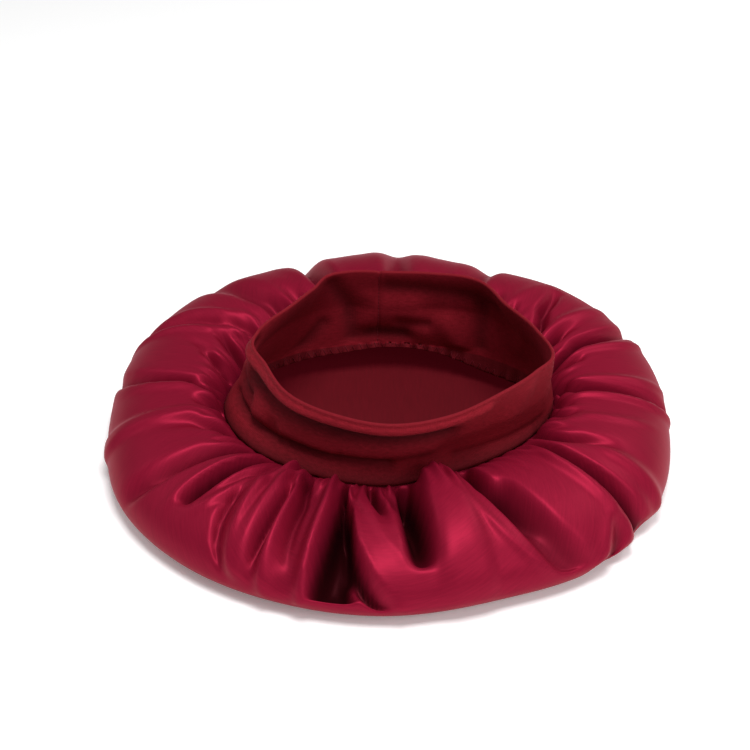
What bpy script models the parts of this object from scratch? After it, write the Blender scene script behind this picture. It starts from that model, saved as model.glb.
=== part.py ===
"""A satin sleep bonnet with a wide stretch band, lying on its crown with the head opening up.

Metres, +Z up. The origin is on the surface that the crown rests on, under the middle of the crown.
Bearings are degrees anticlockwise seen from above: 0 is +X, 90 is +Y. The tables hold millimetres.
"""

import math
from collections import namedtuple

import bmesh
import bpy

MM = 0.001

SATIN_THICKNESS = 1.2 * MM
BAND_THICKNESS = 2.0 * MM
PUFF_HEIGHT = 45.0  # mm, the crown's full thickness as it lies
UPPER_ROLL = 50.0  # mm, how far in from its outermost line the crown starts to round over
LOWER_ROLL = 24.0  # mm, the same on the underside
EDGE_HEIGHT = 12.0  # mm, of the outermost line over the floor
SLOPE_SHARE = 0.6  # of the way out, where the crown's slope meets its rounded edge
SLOPE_FULLNESS = 0.7  # below 1 it rises steeply from the seam, then levels off
BELLY_REACH = 0.62  # share of the crown's radius where its last ring lies, on the flat middle
SEW_GAP = 0.35  # mm, between the crown's sewn edge and the band's lower edge
SEW_LANDING = 2.6  # mm, the crown's edge that lies level under the band, outside the seam
SEAM_ALLOWANCE = 6.0  # mm, the sewn edge that points into the hollow
LIP_DROOP = 0.8  # mm that the sewn edge's lip hangs below the seam

# Where the crown is sewn to the band, and how far out its rolled edge lies.
CROWN_COLUMNS = ("bearing", "seam_radius", "seam_height", "edge_radius", "puff")
CROWN_SECTIONS = (
    (-180, 96.0, 27, 165, 1.00),
    (-157, 88.0, 28, 166.5, 0.96),
    (-135, 79.0, 29, 162.6, 0.96),
    (-112, 75.0, 30, 157.7, 0.94),
    (-90, 73.0, 30, 156, 0.92),
    (-68, 71.0, 31, 154.7, 0.98),
    (-45, 75.0, 31, 163.6, 1.00),
    (-22, 84.0, 30, 164.6, 1.00),
    (0, 94.0, 28, 164, 0.98),
    (22, 93.0, 25, 169.4, 1.00),
    (45, 84.0, 23, 170.4, 1.04),
    (68, 77.0, 22, 165.3, 1.01),
    (90, 75.0, 22, 169, 1.06),
    (112, 78.0, 22, 167.3, 1.02),
    (135, 86.0, 23, 171.4, 1.06),
    (157, 93.0, 25, 169.5, 1.02),
)

# The folds. Each runs out along a curve through three bearings, from start to reach, where 0 is
# the seam and 1 the outermost line. A valley's height is added to the puffed shape, and a crest
# stands at its height whatever lies beside it, both in mm. before and after are its half widths in
# mm, clockwise and anticlockwise of its line, and flare is how much wider it gets by its end.
# crisp 1 is a sharp crease, 0 a round one and below 0 one with a flat bottom or top. fade is how
# abruptly it ends: 2 gently, 8 and more as a pocket.
FOLD_COLUMNS = (
    "bearing", "half_way", "at_end", "start", "reach", "height", "before", "after", "crisp", "fade",
    "flare",
)
Fold = namedtuple("Fold", FOLD_COLUMNS)
VALLEY_ROWS = (
    (-178, -173.5, -174.5, 0.00, 0.56, -10, 5, 5, 0.5, 3, 0),
    (-171.5, -167.5, -169, 0.00, 0.58, -10, 4, 5, 0.5, 3, 0),
    (-158, -161, -166, 0.00, 0.72, -11, 7, 7, 0.1, 2, 0),
    (-154, -153, -155, 0.00, 0.50, -8, 3, 3, 0.5, 2, 0),
    (-148, -148, -154, 0.00, 1.00, -18, 10, 5, 0.5, 3, 0),
    (-139.5, -140, -141, 0.00, 0.79, -27, 5, 5, -0.3, 10, 0.1),
    (-135, -131, -134, 0.00, 0.75, -17, 2.6, 2.6, 0.2, 6, 0),
    (-132.5, -129.3, -122.5, 0.60, 0.97, -8, 3.4, 3, 0, 6, 0),
    (-128.5, -126, -123.6, 0.25, 0.82, -10, 3.4, 3.4, 0, 5, 0),
    (-123, -119.8, -119.4, 0.10, 0.96, -12, 3.6, 3.4, 0, 8, 0),
    (-121.5, -118, -112.5, 0.00, 0.84, -12, 4.2, 4.2, 0.2, 4, 0),
    (-116.5, -112.5, -111, 0.25, 0.97, -6, 9, 7, -0.4, 8, 0),
    (-106.5, -104.2, -102, 0.00, 0.95, -42, 3.4, 3.6, -0.5, 16, 3.2),
    (-103.5, -100.6, -90.5, 0.30, 0.98, -25, 4.4, 4.6, -0.2, 12, 0.8),
    (-98.5, -96, -91.5, 0.00, 0.66, -17, 5, 5, 0.1, 4, 0),
    (-85, -84.5, -83, 0.00, 0.82, -31, 8, 9, -0.2, 8, 0),
    (-60, -57, -52, 0.45, 0.97, -12, 10, 11, -0.5, 10, 0),
    (-57, -61.5, -57, 0.00, 0.76, -22, 5, 8, -0.2, 3, 0),
    (-37.5, -43, -46.5, 0.82, 1.20, -13, 5, 6, -0.3, 4, 0.5),
    (-30, -34.4, -31, 0.10, 1.17, -30, 3.4, 3.8, -0.3, 8, 1),
    (-19, -26.5, -22, 0.00, 0.74, -19, 5.5, 5.5, 0.2, 3, 0),
    (-6, -13, -12, 0.00, 0.50, -10, 3.5, 3.5, 0.3, 3, 0),
    (2, -6.5, -6, 0.00, 0.42, -9, 3, 3, 0.3, 3, 0),
    (9, 0, 3.5, 0.00, 0.95, -22, 3.8, 3.8, 0, 5, 0.2),
    (16, 14.5, 13.5, 0.00, 0.60, -14, 4, 4, 0.1, 4, 0),
    (19, 19.3, 31, 0.03, 0.98, -20, 4.4, 4.2, 0.1, 4, 0),
    (25, 26, 28.5, 0.00, 0.66, -15, 4, 4.2, 0.2, 3, 0),
    (34, 34, 45, 0.00, 0.75, -17, 5, 5, 0.2, 4, 0),
    (41, 44, 49, 0.00, 0.55, -10, 4, 4, 0.2, 3, 0),
    (51, 52.5, 55, 0.00, 0.63, -13, 7, 8, 0.5, 2, 0),
    (62, 64, 65.5, 0.00, 1.08, -13, 9, 10, 0.5, 2, 0),
    (74, 75, 75.5, 0.00, 0.62, -13, 8, 8, 0.5, 2, 0),
    (85, 87, 88, 0.00, 0.93, -15, 10, 10, 0.4, 2, 0),
    (97, 99, 100, 0.00, 0.62, -13, 8, 9, 0.5, 2, 0),
    (107, 110, 112, 0.00, 1.20, -16, 10, 10, 0.5, 3, 0),
    (118, 120.5, 123, 0.00, 0.65, -13, 8, 8, 0.5, 2, 0),
    (127, 130.5, 135.5, 0.00, 0.98, -12, 13, 12, 0.1, 2, 0),
    (143, 147, 158, 0.05, 0.98, -7, 5, 5, 0.2, 3, 0),
    (155, 154.5, 152.5, 0.00, 0.51, -14, 6, 7, 0.2, 3, 0),
    (164.5, 164.5, 158, 0.00, 0.67, -13, 4, 5, 0.5, 3, 0),
    (171.5, 174.5, 175, 0.00, 0.44, -9, 3.5, 3.5, 0.5, 3, 0),
    (175.5, 178.5, 163, 0.00, 1.06, -15, 5, 5, 0.5, 6, 0.3),
)
CREST_ROWS = (
    (-180.5, -179, -189, 0.05, 0.98, 3, 6, 7, 0.4, 4, 0),
    (-168, -169.5, -170, 0.82, 1.20, 3, 3, 3, 1, 2, 0),
    (-167, -169, -174.5, 0.05, 1.12, 3.5, 4, 6, 1, 6, 0),
    (-163, -167, -172.5, 0.08, 1.12, 3.5, 4, 6, 1, 6, 0),
    (-152.5, -153.5, -160, 0.10, 0.72, -1, 3.5, 3.5, 1, 4, 0),
    (-139.5, -142.3, -143, 0.05, 0.86, 3, 3.2, 3.6, 0.8, 8, 0),
    (-137, -133.5, -138.5, 0.05, 0.77, -7, 3.2, 3, 0.5, 5, 0),
    (-133, -129.3, -138.5, 0.05, 0.83, 3, 3.6, 3.6, 0.8, 8, 0),
    (-131, -126.3, -122.3, 0.50, 0.96, 5, 4.5, 5, -0.3, 10, 0),
    (-129.5, -125.2, -120.6, 0.03, 0.97, 5, 6, 6.5, -0.5, 14, 0),
    (-126, -119.3, -115.4, 0.03, 1.04, 5, 3.6, 4.6, 0, 12, 0),
    (-112.5, -108.6, -107.2, 0.03, 1.05, 5.5, 6, 2.8, -0.1, 14, 0),
    (-104, -101.8, -85.5, 0.05, 1.05, 4.5, 3, 4.4, 0.3, 12, 0),
    (-104, -101, -81, 0.10, 0.87, 2, 3.2, 3.8, 0.5, 6, 0),
    (-92, -89.5, -86, 0.05, 0.72, -9, 6, 5, 0, 3, 0),
    (-72, -73.5, -74, -0.08, 1.10, 9, 13, 12, -0.7, 2, 0),
    (-66, -69.3, -54.5, 0.05, 1.00, 3.5, 3.6, 4, 0.9, 8, 0),
    (-38, -44.5, -48, 0.80, 1.08, 4, 4, 4, 0.2, 4, 0),
    (-32, -37.6, -37, 0.12, 1.08, 4, 6, 3.2, 0.4, 8, 0),
    (-29.5, -31.5, -27.5, 0.10, 0.76, 2.5, 2.4, 3, 0.8, 4, 0),
    (-27.5, -26, -25.5, 0.60, 1.16, 3, 3.4, 8, 0.1, 6, 0),
    (-20, -17.5, -8, 0.05, 0.86, 3, 3.4, 4, 0.8, 4, 0),
    (-1.5, -4.3, 5.5, 0.03, 1.18, 3.5, 3, 3.6, 0.9, 8, 0),
    (5, 3.5, 11.5, 0.15, 1.05, 2.5, 3, 4, 0.3, 4, 0),
    (13, 10, 14.5, 0.00, 0.66, 3, 2.8, 2.8, 0.9, 4, 0),
    (18, 15.8, 28, 0.03, 1.05, 3.5, 3, 4, 0.9, 6, 0),
    (29, 30.5, 37, 0.03, 0.95, 3, 6, 5, 0.3, 4, 0),
    (48, 48.5, 47.5, 0.00, 0.88, 2.5, 7, 7, 0.8, 2, 0),
    (69, 70, 71.5, 0.00, 0.88, 2.5, 7, 7, 0.8, 2, 0),
    (80, 80.5, 81, 0.00, 0.88, 2.5, 7, 7, 0.8, 2, 0),
    (92, 92.5, 94.5, 0.00, 0.88, 2.5, 7, 7, 0.8, 2, 0),
    (103, 105, 105.5, 0.00, 0.88, 2.5, 7, 7, 0.8, 2, 0),
    (113, 114.5, 119.5, 0.00, 0.88, 2.5, 7, 7, 0.8, 2, 0),
    (138, 142.5, 155, 0.05, 0.98, 3, 3.5, 3.5, 1, 4, 0),
    (143, 152.5, 160, 0.05, 1.05, 3.5, 4, 4, 1, 6, 0),
)
VALLEYS = [Fold(*row) for row in VALLEY_ROWS]
CRESTS = [Fold(*row) for row in CREST_ROWS]
DEEPEST = -32.0  # mm, past which valleys that meet deepen only slowly
PAST_DEEPEST = 0.3  # share of any further depth that they keep
FROM_SEAM = 0.2  # folds that start nearer to the seam than this have its ease-in
VALLEY_EASE = 0.14  # share of the way out by which a valley from the seam has its full depth
CREST_EASE = 0.25  # the same for a crest
LOBE_EASE = 0.1  # the same for a crest with a flat top
EASE_IN = 0.25  # share of its own length where a fold that starts further out has its full height
CREASE_CURVE = 1.6  # power of a sharp crease's sides; 1 is a plain V
UNDERSIDE_SPREAD = 0.5  # how much further out the folds count as going, on the roll's underside
WIDTH_AT_SEAM = 0.55  # of a fold's half width; it widens to 0.95 half way out and 1.35 at the edge
WIDENING = 0.8
LEAST_WIDTH = 0.055  # of the radius: a fold's least half width, so it can't fall between columns
UPRIGHT_VALLEYS = (0.85, 0.35)  # valleys sink straight down this far out, then turn inward over this
UPRIGHT_CRESTS = 0.3  # crests rise straight up at the seam and along the cloth's normal from here
VALLEY_FLOOR = 1.0  # mm of air that a valley's bottom keeps over the underside
GUIDE_DEPTH = -15.0  # mm, valleys at least this deep and
GUIDE_REACH = 0.7  # at least this long have a column of their own

# How the band stands: the radius and height of its free edge, and where it buckles on the way up.
# foot_in and buckle_in are how far its foot and its middle lie in from the line between its edges.
BAND_COLUMNS = ("bearing", "rim_radius", "rim_height", "foot_in", "buckle_in")
BAND_SECTIONS = (
    (-180, 76.5, 81, 7.0, 2.0),
    (-171, 79.5, 81, 8.5, 3.0),
    (-157, 76.0, 80, 8.5, 5.0),
    (-135, 79.0, 79, 8.0, 7.0),
    (-112, 80.5, 79, 6.0, 8.0),
    (-90, 83.5, 79, 5.0, 8.0),
    (-68, 82.0, 79, 4.0, 6.0),
    (-45, 82.0, 80, 3.0, 4.0),
    (-25, 88.5, 81, 2.0, 1.5),
    (-15, 93.5, 82, 1.0, 0.0),
    (0, 83.5, 82, 1.0, -2.0),
    (22, 73.0, 82, 2.0, -5.0),
    (45, 74.5, 82, 3.0, -5.0),
    (68, 67.0, 82, 4.0, -3.0),
    (90, 65.0, 82, 3.0, -2.0),
    (112, 69.5, 82, 2.0, -3.0),
    (122, 71.0, 82, 2.0, -4.0),
    (135, 66.0, 82, 3.0, -5.0),
    (157, 66.0, 82, 5.0, -3.0),
)

FRONT_SPACING = 2.3  # degrees, about, between the crown's lofted columns
BACK_SPACING = 4.2  # the same at the back, where the folds are broader
FRONT_END = 50  # bearing where the wider spacing starts; it ends at 180
UPPER_STATIONS = (0.0, 0.04, 0.10, 0.18, 0.28, 0.39, 0.50, 0.60, 0.70, 0.80, 0.90, 1.0)
LOWER_STATIONS = (0.25, 0.55, 1.0)  # from the outermost line to the flat underside
BAND_COUNT = 60
BAND_STATIONS = 8
BAND_EDGE_RISE = 1.6  # mm that the band stands straight up from its sewn edge
FOOT_REACH = 0.5  # share of the way up the band where its tucked-in foot ends
NEARBY = 0.01  # share of the way out, between the points that give the crown's slope


def column(table, names, name):
    """One column of a table, as (bearing, value) pairs in order of bearing."""
    index = names.index(name)
    return sorted((row[0] % 360, row[index]) for row in table)


def around(pairs, bearing):
    """A smooth value at a bearing, through the pairs and closed after a full turn."""
    bearing %= 360
    count = len(pairs)
    after = next((k for k, pair in enumerate(pairs) if pair[0] > bearing), count)
    points = []
    for k in range(after - 2, after + 2):
        turn = k // count
        at, value = pairs[k % count]
        points.append((at + 360 * turn, value))
    (a0, v0), (a1, v1), (a2, v2), (a3, v3) = points
    span = a2 - a1
    s = (bearing - a1) / span
    slope1 = (v2 - v0) / (a2 - a0) * span
    slope2 = (v3 - v1) / (a3 - a1) * span
    return (
        (2 * s**3 - 3 * s**2 + 1) * v1
        + (s**3 - 2 * s**2 + s) * slope1
        + (3 * s**2 - 2 * s**3) * v2
        + (s**3 - s**2) * slope2
    )


def smooth(x):
    """0 to 1 with a level start and end."""
    x = min(max(x, 0.0), 1.0)
    return x * x * (3 - 2 * x)


SEAM_RADIUS = column(CROWN_SECTIONS, CROWN_COLUMNS, "seam_radius")
SEAM_HEIGHT = column(CROWN_SECTIONS, CROWN_COLUMNS, "seam_height")
EDGE_RADIUS = column(CROWN_SECTIONS, CROWN_COLUMNS, "edge_radius")
PUFF = column(CROWN_SECTIONS, CROWN_COLUMNS, "puff")


def upper_profile(bearing, out):
    """Radius and height of the unfolded upper side: out is 0 at the seam, 1 at the outermost line."""
    seam_radius = around(SEAM_RADIUS, bearing) + SEW_LANDING
    seam_height = around(SEAM_HEIGHT, bearing) - SEW_GAP
    top = PUFF_HEIGHT * around(PUFF, bearing)
    roll_start = around(EDGE_RADIUS, bearing) - UPPER_ROLL
    if out < SLOPE_SHARE:
        along = out / SLOPE_SHARE
        rise = math.sin(math.pi / 2 * along**SLOPE_FULLNESS)
        return (
            seam_radius + (roll_start - seam_radius) * along,
            seam_height + (top - seam_height) * rise,
        )
    turn = (out - SLOPE_SHARE) / (1 - SLOPE_SHARE) * math.pi / 2
    return (
        roll_start + UPPER_ROLL * math.sin(turn),
        EDGE_HEIGHT + (top - EDGE_HEIGHT) * math.cos(turn),
    )


def lower_profile(bearing, inward):
    """The underside's roll: inward is 0 at the outermost line, 1 where it lies flat."""
    roll_start = around(EDGE_RADIUS, bearing) - LOWER_ROLL
    turn = inward * math.pi / 2
    return roll_start + LOWER_ROLL * math.cos(turn), EDGE_HEIGHT * (1 - math.sin(turn))


def fold_bearing(fold, out):
    """Where a fold's line is, this far out: a parabola through its three bearings."""
    along = min(max((out - fold.start) / (fold.reach - fold.start), 0), 1)
    return (
        fold.bearing * (1 - along) * (1 - 2 * along)
        + fold.half_way * 4 * along * (1 - along)
        + fold.at_end * along * (2 * along - 1)
    )


def fold_strength(fold, ease, bearing, radius, out):
    """How much of one fold is felt at a place, 0 to 1."""
    along = (out - fold.start) / (fold.reach - fold.start)
    if not 0 < along < 1:
        return 0.0
    apart = (bearing - fold_bearing(fold, out) + 180) % 360 - 180
    distance = math.radians(apart) * radius
    half_width = fold.before if distance < 0 else fold.after
    half_width *= (WIDTH_AT_SEAM + WIDENING * out) * (1 + fold.flare * along**3)
    half_width = max(half_width, LEAST_WIDTH * radius)
    across = abs(distance) / half_width
    if across >= 1:
        return 0.0
    ease_in = ease / (fold.reach - fold.start) if fold.start < FROM_SEAM else EASE_IN
    ends = smooth(along / ease_in) * (1 - along**fold.fade)
    edged = (1 - across) ** CREASE_CURVE if fold.crisp > 0 else (1 - across**4) ** 2
    bell = (1 - across**2) ** 2
    share = abs(fold.crisp)
    return ends * (share * edged + (1 - share) * bell)


def folded(bearing, radius, out):
    """How far the folds lift the cloth at a place, in mm."""
    total = sum(
        fold.height * fold_strength(fold, VALLEY_EASE, bearing, radius, out) for fold in VALLEYS
    )
    if total < DEEPEST:
        total = DEEPEST + (total - DEEPEST) * PAST_DEEPEST
    for fold in CRESTS:
        ease = LOBE_EASE if fold.crisp < 0 else CREST_EASE
        total += (fold.height - total) * fold_strength(fold, ease, bearing, radius, out)
    return total


def lifted(bearing, radius, height, slope, out):
    """Where the folds move a point of the upper side; slope is the cloth's run and rise there."""
    lift = folded(bearing, radius, out)
    if lift < 0:
        turned = smooth((out - UPRIGHT_VALLEYS[0]) / UPRIGHT_VALLEYS[1])
    else:
        turned = smooth(out / UPRIGHT_CRESTS)
    length = math.hypot(*slope)
    outward = -slope[1] / length * turned
    up = slope[0] / length * turned + 1 - turned
    length = math.hypot(outward, up)
    radius += outward / length * lift
    height += up / length * lift
    under = min(max((radius - around(EDGE_RADIUS, bearing)) / LOWER_ROLL + 1, 0), 1)
    lowest = EDGE_HEIGHT * (1 - math.sqrt(1 - under**2)) + VALLEY_FLOOR
    return radius, max(height, lowest)


def place(bearing, radius, height):
    angle = math.radians(bearing)
    return (radius * math.cos(angle) * MM, radius * math.sin(angle) * MM, height * MM)


def crown_columns():
    """The loft's columns: one down each deep, long valley, and the rest spread between them.

    Each is (valley, next valley, share of the way between them)."""
    guides = [
        fold for fold in VALLEYS if fold.height <= GUIDE_DEPTH and fold.reach >= GUIDE_REACH
    ]
    columns = []
    for k, guide in enumerate(guides):
        following = guides[(k + 1) % len(guides)]
        gap = (following.bearing - guide.bearing) % 360
        spacing = FRONT_SPACING if guide.bearing < FRONT_END else BACK_SPACING
        count = max(2, round(gap / spacing))
        columns += [(guide, following, step / count) for step in range(count)]
    return columns


def column_bearing(col, out):
    guide, following, share = col
    start = fold_bearing(guide, out)
    gap = (fold_bearing(following, out) - start) % 360
    return start + gap * share


def crown_rings():
    """Rings of points of the crown's outer face, from the sewn edge out, round the roll and under."""
    columns = crown_columns()
    rings = []
    for offset, droop in ((-SEAM_ALLOWANCE, LIP_DROOP), (SEW_LANDING / 2, 0)):
        ring = []
        for col in columns:
            bearing = column_bearing(col, 0)
            radius = around(SEAM_RADIUS, bearing) + offset
            height = around(SEAM_HEIGHT, bearing) - SEW_GAP - droop
            ring.append(place(bearing, radius, height))
        rings.append(ring)
    for out in UPPER_STATIONS:
        ring = []
        for col in columns:
            bearing = column_bearing(col, out)
            radius, height = upper_profile(bearing, out)
            before = upper_profile(bearing, max(out - NEARBY, 0))
            after = upper_profile(bearing, min(out + NEARBY, 1))
            slope = (after[0] - before[0], after[1] - before[1])
            ring.append(place(bearing, *lifted(bearing, radius, height, slope, out)))
        rings.append(ring)
    for inward in LOWER_STATIONS:
        ring = []
        for col in columns:
            bearing = column_bearing(col, 1)
            radius, height = lower_profile(bearing, inward)
            lift = folded(bearing, radius, 1 + inward * UNDERSIDE_SPREAD) * (1 - inward)
            ring.append(place(bearing, radius + lift, height))
        rings.append(ring)
    flat = []
    for col in columns:
        bearing = column_bearing(col, 1)
        flat.append(place(bearing, BELLY_REACH * around(EDGE_RADIUS, bearing), 0))
    rings.append(flat)
    return rings


def loft(name, rings, close_last):
    """A mesh with one strip of quads between each two rings, and a fan over the last one."""
    shape = bmesh.new()
    rows = [[shape.verts.new(point) for point in ring] for ring in rings]
    count = len(rows[0])
    for outer, inner in zip(rows, rows[1:]):
        for k in range(count):
            following = (k + 1) % count
            shape.faces.new((outer[k], outer[following], inner[following], inner[k]))
    if close_last:
        centre = shape.verts.new((0, 0, rings[-1][0][2]))
        last = rows[-1]
        for k in range(count):
            shape.faces.new((last[k], last[(k + 1) % count], centre))
    bmesh.ops.recalc_face_normals(shape, faces=shape.faces)
    mesh = bpy.data.meshes.new(name)
    shape.to_mesh(mesh)
    shape.free()
    return mesh


def crown_centre(rings):
    """The middle of the crown's outline, seen from above."""
    points = [point for ring in rings for point in ring]
    return [
        (min(p[axis] for p in points) + max(p[axis] for p in points)) / 2
        for axis in (0, 1)
    ]


def band_rings():
    """Rings of points up the middle of the band's wall, from its sewn edge to its free edge."""
    names = BAND_COLUMNS
    rim_radius = column(BAND_SECTIONS, names, "rim_radius")
    rim_height = column(BAND_SECTIONS, names, "rim_height")
    foot_in = column(BAND_SECTIONS, names, "foot_in")
    buckle_in = column(BAND_SECTIONS, names, "buckle_in")
    rings = [[]]
    for k in range(BAND_COUNT):
        bearing = 360 * k / BAND_COUNT
        rings[0].append(place(bearing, around(SEAM_RADIUS, bearing), around(SEAM_HEIGHT, bearing)))
    for station in range(BAND_STATIONS + 1):
        up = station / BAND_STATIONS
        ring = []
        for k in range(BAND_COUNT):
            bearing = 360 * k / BAND_COUNT
            foot_height = around(SEAM_HEIGHT, bearing) + BAND_EDGE_RISE
            low = (around(SEAM_RADIUS, bearing), foot_height)
            high = (around(rim_radius, bearing), around(rim_height, bearing))
            foot = around(foot_in, bearing) * math.sin(math.pi * min(up / FOOT_REACH, 1))
            buckle = around(buckle_in, bearing) * math.sin(math.pi * up)
            radius = low[0] + (high[0] - low[0]) * smooth(up) - foot - buckle
            height = low[1] + (high[1] - low[1]) * up
            ring.append(place(bearing, radius, height))
        rings.append(ring)
    return rings


def cloth(name, colour, roughness, sheen):
    material = bpy.data.materials.new(name)
    material.use_nodes = True
    shader = material.node_tree.nodes["Principled BSDF"]
    shader.inputs["Base Color"].default_value = (*colour, 1)
    shader.inputs["Roughness"].default_value = roughness
    shader.inputs["Metallic"].default_value = 0
    shader.inputs["Sheen Weight"].default_value = sheen
    return material


def thicken(obj, thickness, offset):
    wall = obj.modifiers.new("wall", "SOLIDIFY")
    wall.thickness = thickness
    wall.offset = offset


def add_part(name, mesh, material, collection, centre):
    obj = bpy.data.objects.new(name, mesh)
    mesh.materials.append(material)
    mesh.shade_smooth()
    collection.objects.link(obj)
    obj.location = (-centre[0], -centre[1], 0)
    return obj


def make_bonnet():
    for obj in list(bpy.data.objects):
        bpy.data.objects.remove(obj, do_unlink=True)
    bonnet = bpy.data.collections.new("sleep_bonnet")
    bpy.context.scene.collection.children.link(bonnet)
    satin = cloth("wine satin", (0.33, 0.012, 0.045), 0.36, 0.3)
    jersey = cloth("wine stretch jersey", (0.19, 0.008, 0.018), 0.85, 0.6)

    rings = crown_rings()
    centre = crown_centre(rings)
    crown_mesh = loft("satin_crown", rings, close_last=True)
    crown = add_part("satin_crown", crown_mesh, satin, bonnet, centre)
    thicken(crown, SATIN_THICKNESS, -1)

    band_mesh = loft("stretch_band", band_rings(), close_last=False)
    band = add_part("stretch_band", band_mesh, jersey, bonnet, centre)
    thicken(band, BAND_THICKNESS, 0)


make_bonnet()
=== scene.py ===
import math

import bpy
import numpy as np
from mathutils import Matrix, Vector
from mathutils.geometry import delaunay_2d_cdt


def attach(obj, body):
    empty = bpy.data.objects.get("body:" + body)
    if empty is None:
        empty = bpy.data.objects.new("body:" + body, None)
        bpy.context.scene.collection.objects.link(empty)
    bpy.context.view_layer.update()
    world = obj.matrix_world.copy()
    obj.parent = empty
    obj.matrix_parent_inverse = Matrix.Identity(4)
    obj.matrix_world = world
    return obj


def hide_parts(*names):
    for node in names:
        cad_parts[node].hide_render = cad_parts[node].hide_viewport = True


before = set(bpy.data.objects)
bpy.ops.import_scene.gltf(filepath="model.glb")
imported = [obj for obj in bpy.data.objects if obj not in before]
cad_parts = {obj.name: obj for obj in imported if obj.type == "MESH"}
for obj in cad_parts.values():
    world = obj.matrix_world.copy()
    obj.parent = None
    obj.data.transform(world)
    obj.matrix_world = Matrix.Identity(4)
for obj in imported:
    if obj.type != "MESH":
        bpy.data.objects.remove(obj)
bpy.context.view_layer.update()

# --- The satin crown -------------------------------------------------------------------------
# One flat circle of woven polyester satin, 56 cm across. Its edge is gathered about three to one
# and sewn inside the band's lower edge. It lies puffed, with its middle flat on the floor.

MM = 0.001
MIDDLE = np.array((-0.44, -5.56))  # mm, where the bearings are measured from
CUT_RADIUS = 280.0  # mm, of the flat circle
PUFF_HEIGHT = 45.0  # mm, of the cloth's highest line, which the puff column multiplies
UPPER_ROLL = 50.0  # mm, from that line out to the outermost one
LOWER_ROLL = 24.0  # mm, from the outermost line in to where the cloth lies flat
EDGE_HEIGHT = 12.0  # mm, of the outermost line
SLOPE_SHARE = 0.6  # share of the way out where the highest line lies
SLOPE_CURVE = 0.7  # power of the rise up to it; below 1 it is steepest at the seam
SEAM_DROP = 1.4  # mm that the gathered edge lies under the band's seam
TUCK = 0.05  # share of the slope that stays under the band's foot
FLOOR_GAP = 0.6  # mm, so that the cloth's underside stays clear of the floor
CROWN_COLUMNS = ("bearing", "seam_radius", "seam_height", "edge_radius", "puff")
CROWN_SECTIONS = np.array((
    (-180, 96.0, 27, 165, 1.00),
    (-157, 88.0, 28, 166.5, 0.96),
    (-135, 79.0, 29, 162.6, 0.96),
    (-112, 75.0, 30, 157.7, 0.94),
    (-90, 73.0, 30, 156, 0.92),
    (-68, 71.0, 31, 154.7, 0.98),
    (-45, 75.0, 31, 163.6, 1.00),
    (-22, 84.0, 30, 164.6, 1.00),
    (0, 94.0, 28, 164, 0.98),
    (22, 93.0, 25, 169.4, 1.00),
    (45, 84.0, 23, 170.4, 1.04),
    (68, 77.0, 22, 165.3, 1.01),
    (90, 75.0, 22, 169, 1.06),
    (112, 78.0, 22, 167.3, 1.02),
    (135, 86.0, 23, 171.4, 1.06),
    (157, 93.0, 25, 169.5, 1.02),
))
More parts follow.
